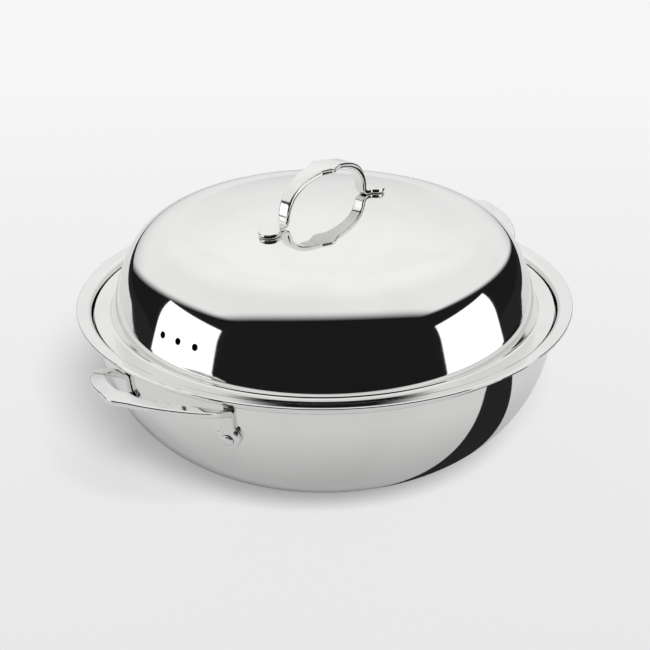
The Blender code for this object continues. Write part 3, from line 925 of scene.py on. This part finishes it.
def placed(tree, group, place, per_metre):
    """An effect group in a material, reading a place, at that material's own fineness."""
    return out(tree, "ShaderNodeGroup", {"Place": place, "Per metre": per_metre}, node_tree=group)


def steel(name, tones, roughness, rings, lines, dulling, marks_on=None):
    """A steel finish.

    tones are its clean and its handled colour. rings, lines and dulling are how much each effect
    roughens it, and rings and lines also cut into it. marks_on names the attribute that the
    pattern follows, and without one it follows the object itself.
    """
    material = bpy.data.materials.new(name)
    material.use_nodes = True
    tree = material.node_tree
    shader = tree.nodes["Principled BSDF"]
    shader.inputs["Metallic"].default_value = 1.0
    if marks_on:
        place = add(tree, "ShaderNodeAttribute", attribute_name=marks_on).outputs["Vector"]
    else:
        place = tree.nodes.new("ShaderNodeTexCoord").outputs["Object"]
    ring = placed(tree, RINGS, place, rings[0])
    line = placed(tree, HAIRLINES, place, lines[0])
    cloud = placed(tree, HANDLING, place, dulling[0])
    clean, handled = [(*tone, 1.0) for tone in tones]
    tone = add(tree, "ShaderNodeMix", {"A": clean, "B": handled, "Factor": cloud}, data_type="RGBA")
    tree.links.new(tone.outputs["Result"], shader.inputs["Base Color"])
    dull = maths(tree, "MULTIPLY_ADD", cloud, dulling[1], roughness)
    dull = maths(tree, "MULTIPLY_ADD", ring, rings[1], dull)
    dull = maths(tree, "MULTIPLY_ADD", line, lines[1], dull)
    tree.links.new(dull, shader.inputs["Roughness"])
    cut = maths(tree, "MULTIPLY", ring, rings[2])
    cut = maths(tree, "MULTIPLY_ADD", line, -lines[2], cut)
    bump = out(tree, "ShaderNodeBump", {"Height": cut, "Strength": 1.0, "Distance": 0.001})
    tree.links.new(bump, shader.inputs["Normal"])
    return material


def finishes():
    """Every finish by name. rings, lines and dulling are (per metre, roughening, depth)."""
    return {
        "mirror": steel("mirror_polished_sheet", ((0.84, 0.84, 0.83), (0.80, 0.80, 0.79)), 0.035,
                        rings=(2200.0, 0.010, 0.0002), lines=(700.0, 0.03, 0.0002),
                        dulling=(14.0, 0.012)),
        "satin": steel("satin_spun_inside", ((0.78, 0.78, 0.77), (0.72, 0.72, 0.71)), 0.16,
                       rings=(3800.0, 0.14, 0.006), lines=(600.0, 0.10, 0.002), dulling=(16.0, 0.05)),
        "cast": steel("polished_casting", ((0.82, 0.82, 0.81), (0.77, 0.77, 0.76)), 0.06,
                      rings=(1500.0, 0.02, 0.0003), lines=(900.0, 0.05, 0.0005), dulling=(60.0, 0.03),
                      marks_on="on_strap"),
        "turned": steel("turned_rivet", ((0.79, 0.79, 0.78), (0.70, 0.70, 0.69)), 0.10,
                        rings=(6000.0, 0.08, 0.003), lines=(1500.0, 0.05, 0.001), dulling=(90.0, 0.04),
                        marks_on="own_place"),
    }


# The wok's pieces

def paint_inside(piece, finish, is_inside):
    """Gives a second finish to the faces that is_inside picks by their middle and normal."""
    piece.data.materials.append(finish)
    for face in piece.data.polygons:
        if is_inside(face.center, face.normal):
            face.material_index = 1


def build_bowl(steel_of):
    bowl = turned_piece("polished_bowl", bowl_outline(), TURN_STEPS, steel_of["mirror"])
    drill(bowl, rivet_places(), RIVET_SHANK + GAP, 4 * BOWL_SHEET, steel_of["mirror"])
    closed_and_outward(bowl)
    above = UP * 2 * BOWL_HEIGHT
    wall_top = LEDGE_HEIGHT - BOWL_SHEET

    def is_inside(middle, normal):
        return middle.z < wall_top and normal.dot(above - middle) > 0

    paint_inside(bowl, steel_of["satin"], is_inside)
    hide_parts("wok_bowl")
    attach(bowl, "wok")


def build_lid(steel_of):
    lid = turned_piece("polished_lid", lid_outline(), TURN_STEPS, steel_of["mirror"])
    drill(lid, vent_places(), VENT_RADIUS, 8 * LID_SHEET, steel_of["mirror"])
    drill(lid, stud_places(), STUD_SHANK + GAP, 8 * LID_SHEET, steel_of["mirror"])
    closed_and_outward(lid)

    def is_inside(middle, normal):
        return Vector((middle.x, middle.y, 0)).normalized().dot(normal) + normal.z < 0

    paint_inside(lid, steel_of["satin"], is_inside)
    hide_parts("lid")
    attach(lid, "domed_lid")


def build_handle(name, mesh, placement, node, body, finish):
    mesh.transform(placement)
    mesh.materials.append(finish)
    handle = new_piece(name, mesh)
    closed_and_outward(handle, CASTING_CORNER)
    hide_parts(node)
    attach(handle, body)


def build_fasteners(name, outline, places, nodes, body, finish):
    pattern = closed_and_outward(turned_piece("pattern", outline, SMALL_TURN_STEPS, finish))
    fasteners = marked_points(name, places)
    shaped(fasteners, SET_OUT, Piece=pattern, Finish=finish)
    bpy.data.objects.remove(pattern)
    closed_and_outward(fasteners, CASTING_CORNER)
    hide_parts(*nodes)
    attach(fasteners, body)


def build_wok():
    steel_of = finishes()
    cast, turned = steel_of["cast"], steel_of["turned"]
    build_bowl(steel_of)
    build_lid(steel_of)
    for side, at in SIDES.items():
        build_handle("cast_handle_" + side, side_handle_mesh(), at, "side_handle_" + side, "wok", cast)
    build_handle("cast_lid_handle", lid_handle_mesh(), ON_LID, "lid_handle", "domed_lid", cast)
    rivets = [node for node in frame["nodes"] if node.startswith("rivet_")]
    studs = [node for node in frame["nodes"] if node.startswith("lid_stud_")]
    build_fasteners("rivets", rivet_outline(), rivet_places(), rivets, "wok", turned)
    build_fasteners("lid_studs", stud_outline(), stud_places(), studs, "domed_lid", turned)


# The studio. Its places are seen from the camera: +X to its right, +Y away from it.

FLOOR_SIZE = 7.0
FLOOR_TONE = 0.80
FLOOR_MOTTLE = 0.004
FLOOR_GLOW_NEAR = 0.365
FLOOR_GLOW_FAR = 0.480
FLOOR_NEAR = -0.35
FLOOR_FAR = 0.9
FLOOR_MIRRORED = 0.72
# painted shade: how dark the floor's colour and glow are at the wok's base, as the steel mirrors them
FLOOR_PAINTED_SHADE = 0.55
FLOOR_SHADE_RADIUS = 1.5 * RIM_RADIUS
ROOM_RADIUS = 2.6
ROOM_HEIGHT = 5.2
ROOM_SIDES = 96
ROOM_GLOW = 0.012
BACKGROUND = 0.90
FILL = 0.03
KEY_HEADING = math.radians(283)
KEY_RISE = math.radians(43)
KEY_SOFTNESS = math.radians(26)
KEY_STRENGTH = 2.4

SCRIM_HALF_WIDTH = 1.10
SCRIM_HALF_LENGTH = 1.075
SCRIM_TILT = math.radians(21)
SCRIM_TURN = math.radians(4)
SCRIM_FRONT = Vector((-0.08, -0.73, 0.87))
SCRIM_GLOW = 0.93
SCRIM_HOT_SPOT = (0.13, -0.06, 0.0)
SCRIM_FADES = [("X", -SCRIM_HALF_WIDTH, 0.35 - SCRIM_HALF_WIDTH, 0, 1),
               ("X", SCRIM_HALF_WIDTH, SCRIM_HALF_WIDTH - 0.16, 0, 1),
               ("Y", -SCRIM_HALF_LENGTH, 0.40 - SCRIM_HALF_LENGTH, 0, 1),
               ("Y", 0.25, 0.2 + SCRIM_HALF_LENGTH, 1, 0.61),
               ("centre", 0.15, 0.45, 1.1, 1)]
PANELS = {"left_panel": (Vector((-0.094, -0.117, 0)), math.radians(191.5)),
          "right_panel": (Vector((0.098, -0.113, 0)), math.radians(-6.5))}
PANEL_REACH = 1.0
PANEL_WIDTH = 0.80
PANEL_HEIGHT = 0.545
PANEL_GLOW = 1.35
PANEL_EDGE = 0.02
# a dark strip on the floor, from under the wok's right, that only the steel mirrors
DARK_STRIP = [(0.04, -0.042), (0.29, -0.057), (0.45, -0.066), (0.45, -0.177), (0.29, -0.137), (0.04, -0.093)]
LEFT_CLOTH_EDGE = -0.88
RIGHT_CLOTH_EDGE = 0.67
CLOTH_LIFT = 0.0005
CLOTH_GLOW = 0.02


def card(name, outline):
    """A flat card with an outline of (x, y) places."""
    return new_mesh(name, [(x, y, 0) for x, y in outline], faces=[tuple(range(len(outline)))])


def oblong(half_width, half_depth):
    return [(-half_width, -half_depth), (half_width, -half_depth),
            (half_width, half_depth), (-half_width, half_depth)]


def bare_material(name):
    """A material without its first shader, its tree, and the place on the piece that it colours."""
    material = bpy.data.materials.new(name)
    material.use_nodes = True
    tree = material.node_tree
    tree.nodes.remove(tree.nodes["Principled BSDF"])
    return material, tree, tree.nodes.new("ShaderNodeTexCoord").outputs["Object"]


def show(tree, shader):
    tree.links.new(shader, tree.nodes["Material Output"].inputs["Surface"])


def seen_by_steel(tree):
    """1 on the camera's paths while they have met only polished faces, and 0 past a matt one."""
    depth = tree.nodes.new("ShaderNodeLightPath").outputs["Diffuse Depth"]
    return maths(tree, "LESS_THAN", depth, 0.5)


def glowing(name, brightness, fades=(), centre=(0, 0, 0)):
    """A material that only glows, at a brightness where 1 is white.

    Each fade is (along, start, end, first, last): the glow is multiplied by a share that goes
    smoothly from first to last between two places along X or Y, or distances from the centre.
    """
    material, tree, place = bare_material(name)
    strength = maths(tree, "MULTIPLY", seen_by_steel(tree), brightness)
    parts = add(tree, "ShaderNodeSeparateXYZ", {"Vector": place}).outputs
    off = add(tree, "ShaderNodeVectorMath", {0: place, 1: centre}, operation="DISTANCE")
    ways = {"X": parts["X"], "Y": parts["Y"], "centre": off.outputs["Value"]}
    for along_way, start, end, first, last in fades:
        fade = mapped(tree, ways[along_way], start, end, first, last, smooth=True)
        strength = maths(tree, "MULTIPLY", fade, strength)
    show(tree, out(tree, "ShaderNodeEmission", {"Color": (1, 1, 1, 1), "Strength": strength}))
    return material


def only_mirrored(name, mesh, placement, *glow):
    """A glowing card that only the steel mirrors: no camera sees it, and it lights nothing else."""
    piece = new_piece(name, mesh)
    mesh.materials.append(glowing(name, *glow))
    piece.matrix_world = STUDIO @ placement
    for use in ("camera", "diffuse", "shadow", "transmission"):
        setattr(piece, "visible_" + use, False)


def build_floor():
    """A pale floor, a little lighter far off, that keeps the wok's soft shadow.

    The steel mirrors it darker near the wok: a painted shade in its colour and glow that only glossy rays
    see.
    """
    material, tree, place = bare_material("pale_floor")
    mottle = noise(tree, place, 3.0)
    tone = mapped(tree, mottle, 0.0, 1.0, FLOOR_TONE - FLOOR_MOTTLE, FLOOR_TONE + FLOOR_MOTTLE)
    path = tree.nodes.new("ShaderNodeLightPath").outputs
    off = add(tree, "ShaderNodeVectorMath", {0: place}, operation="LENGTH").outputs["Value"]
    # Painted shade, for glossy rays only: the floor's colour and glow darken towards the wok's base.
    under = mapped(tree, off, BASE_RADIUS, FLOOR_SHADE_RADIUS, FLOOR_PAINTED_SHADE, smooth=True)
    under = maths(tree, "MAXIMUM", under, maths(tree, "SUBTRACT", 1.0, path["Is Glossy Ray"]))
    kept = maths(tree, "MULTIPLY", seen_by_steel(tree), under)
    tone = maths(tree, "MULTIPLY", kept, tone)
    colour = out(tree, "ShaderNodeCombineColor", {"Red": tone, "Green": tone, "Blue": tone})
    matt = out(tree, "ShaderNodeBsdfDiffuse", {"Color": colour})
    depth = add(tree, "ShaderNodeSeparateXYZ", {"Vector": place}).outputs["Y"]
    glow = mapped(tree, depth, FLOOR_NEAR, FLOOR_FAR, FLOOR_GLOW_NEAR, FLOOR_GLOW_FAR)
    mirrored = maths(tree, "MULTIPLY", path["Is Glossy Ray"], FLOOR_MIRRORED)
    seen = maths(tree, "MAXIMUM", path["Is Camera Ray"], mirrored)
    seen = maths(tree, "MAXIMUM", seen, path["Is Transmission Ray"])
    glow = maths(tree, "MULTIPLY", maths(tree, "MULTIPLY", seen, kept), glow)
    shine = out(tree, "ShaderNodeEmission", {"Strength": glow})
    show(tree, out(tree, "ShaderNodeAddShader", {0: matt, 1: shine}))
    floor = new_piece("floor", card("floor", oblong(FLOOR_SIZE / 2, FLOOR_SIZE / 2)))
    floor.matrix_world = STUDIO
    floor.data.materials.append(material)
    return floor


def build_room():
    """A dark curtain all round, which the steel mirrors above the floor."""
    mesh = bpy.data.meshes.new("dark_room")
    shape = bmesh.new()
    bmesh.ops.create_cone(shape, cap_ends=False, segments=ROOM_SIDES, radius1=ROOM_RADIUS,
                          radius2=ROOM_RADIUS, depth=ROOM_HEIGHT)
    shape.to_mesh(mesh)
    shape.free()
    middle = Matrix.Translation(UP * ROOM_HEIGHT / 2)
    only_mirrored("dark_room", mesh, middle, ROOM_GLOW)


def build_scrim():
    """A white scrim that slopes down behind the wok from over its front, brightest at its middle."""
    placement = (Matrix.Translation(SCRIM_FRONT) @ Matrix.Rotation(-SCRIM_TILT, 4, "X")
                 @ Matrix.Rotation(SCRIM_TURN, 4, "Z") @ Matrix.Translation((0, SCRIM_HALF_LENGTH, 0)))
    only_mirrored("scrim", card("scrim", oblong(SCRIM_HALF_WIDTH, SCRIM_HALF_LENGTH)), placement,
                  SCRIM_GLOW, SCRIM_FADES, SCRIM_HOT_SPOT)


def build_panels():
    """Two white panels that stand to the left and right of the wok."""
    for name, (start, heading) in PANELS.items():
        outward = turned_out(heading, 1.0)
        place = start + outward * PANEL_REACH + UP * PANEL_HEIGHT / 2
        level = Vector((-outward.y, outward.x, 0))
        turn = Matrix((level, UP, level.cross(UP))).transposed().to_4x4()
        halves = {"X": PANEL_WIDTH / 2, "Y": PANEL_HEIGHT / 2}
        fades = [(way, edge, edge - math.copysign(PANEL_EDGE, edge), 0, 1)
                 for way, half in halves.items() for edge in (-half, half)]
        only_mirrored(name, card(name, oblong(*halves.values())), Matrix.Translation(place) @ turn,
                      PANEL_GLOW, fades)


def build_cloths():
    """Dark cards on the floor that the steel mirrors: a strip from under the wok's right, and a black
    cloth far out on each side.
    """
    outlines = {"black_flag": DARK_STRIP}
    far = FLOOR_SIZE / 2
    for name, edge, end in (("left_cloth", LEFT_CLOTH_EDGE, -far),
                            ("right_cloth", RIGHT_CLOTH_EDGE, far)):
        outlines[name] = [(edge, -far), (edge, far), (end, far), (end, -far)]
    for name, outline in outlines.items():
        only_mirrored(name, card(name, outline), Matrix.Translation(UP * CLOTH_LIFT), CLOTH_GLOW)


def build_world():
    world = bpy.data.worlds.new("studio")
    bpy.context.scene.world = world
    world.use_nodes = True
    tree = world.node_tree
    path = tree.nodes.new("ShaderNodeLightPath").outputs
    seen = maths(tree, "MAXIMUM", path["Is Camera Ray"], path["Is Glossy Ray"])
    seen = maths(tree, "MAXIMUM", seen, path["Is Transmission Ray"])
    seen = maths(tree, "MULTIPLY", seen, seen_by_steel(tree))
    strength = maths(tree, "MULTIPLY_ADD", seen, BACKGROUND - FILL, FILL)
    background = tree.nodes["Background"]
    background.inputs["Color"].default_value = (1.0, 1.0, 1.0, 1.0)
    tree.links.new(strength, background.inputs["Strength"])


def build_key_light(floor):
    """A wide soft light for the floor alone, with the wok's shadow. The steel mirrors cards instead."""
    light = bpy.data.lights.new("key_light", "SUN")
    light.energy = KEY_STRENGTH
    light.angle = KEY_SOFTNESS
    piece = new_piece("key_light", light)
    lit = bpy.data.collections.new("lit_by_key")
    lit.objects.link(floor)
    piece.light_linking.receiver_collection = lit
    source = turned_out(KEY_HEADING, math.cos(KEY_RISE), math.sin(KEY_RISE))
    piece.matrix_world = STUDIO @ along(Vector(), source)
    piece.visible_glossy = False
    piece.visible_camera = False


def build_camera():
    data = bpy.data.cameras.new("camera")
    data.sensor_width = CAMERA_SENSOR
    data.lens = CAMERA_LENS
    forward = Vector((0, math.cos(CAMERA_ELEVATION), -math.sin(CAMERA_ELEVATION)))
    level = Vector((1, 0, 0))
    rise = level.cross(forward)
    right = level * math.cos(CAMERA_ROLL) - rise * math.sin(CAMERA_ROLL)
    up = level * math.sin(CAMERA_ROLL) + rise * math.cos(CAMERA_ROLL)
    place = CAMERA_AIM - forward * CAMERA_DISTANCE
    turn = Matrix((right, up, -forward)).transposed().to_4x4()
    camera = new_piece("camera", data)
    camera.matrix_world = STUDIO @ Matrix.Translation(place) @ turn
    bpy.context.scene.camera = camera


build_wok()
studio_floor = build_floor()
build_room()
build_scrim()
build_panels()
build_cloths()
build_world()
build_key_light(studio_floor)
build_camera()
bpy.context.scene.view_settings.view_transform = "Standard"
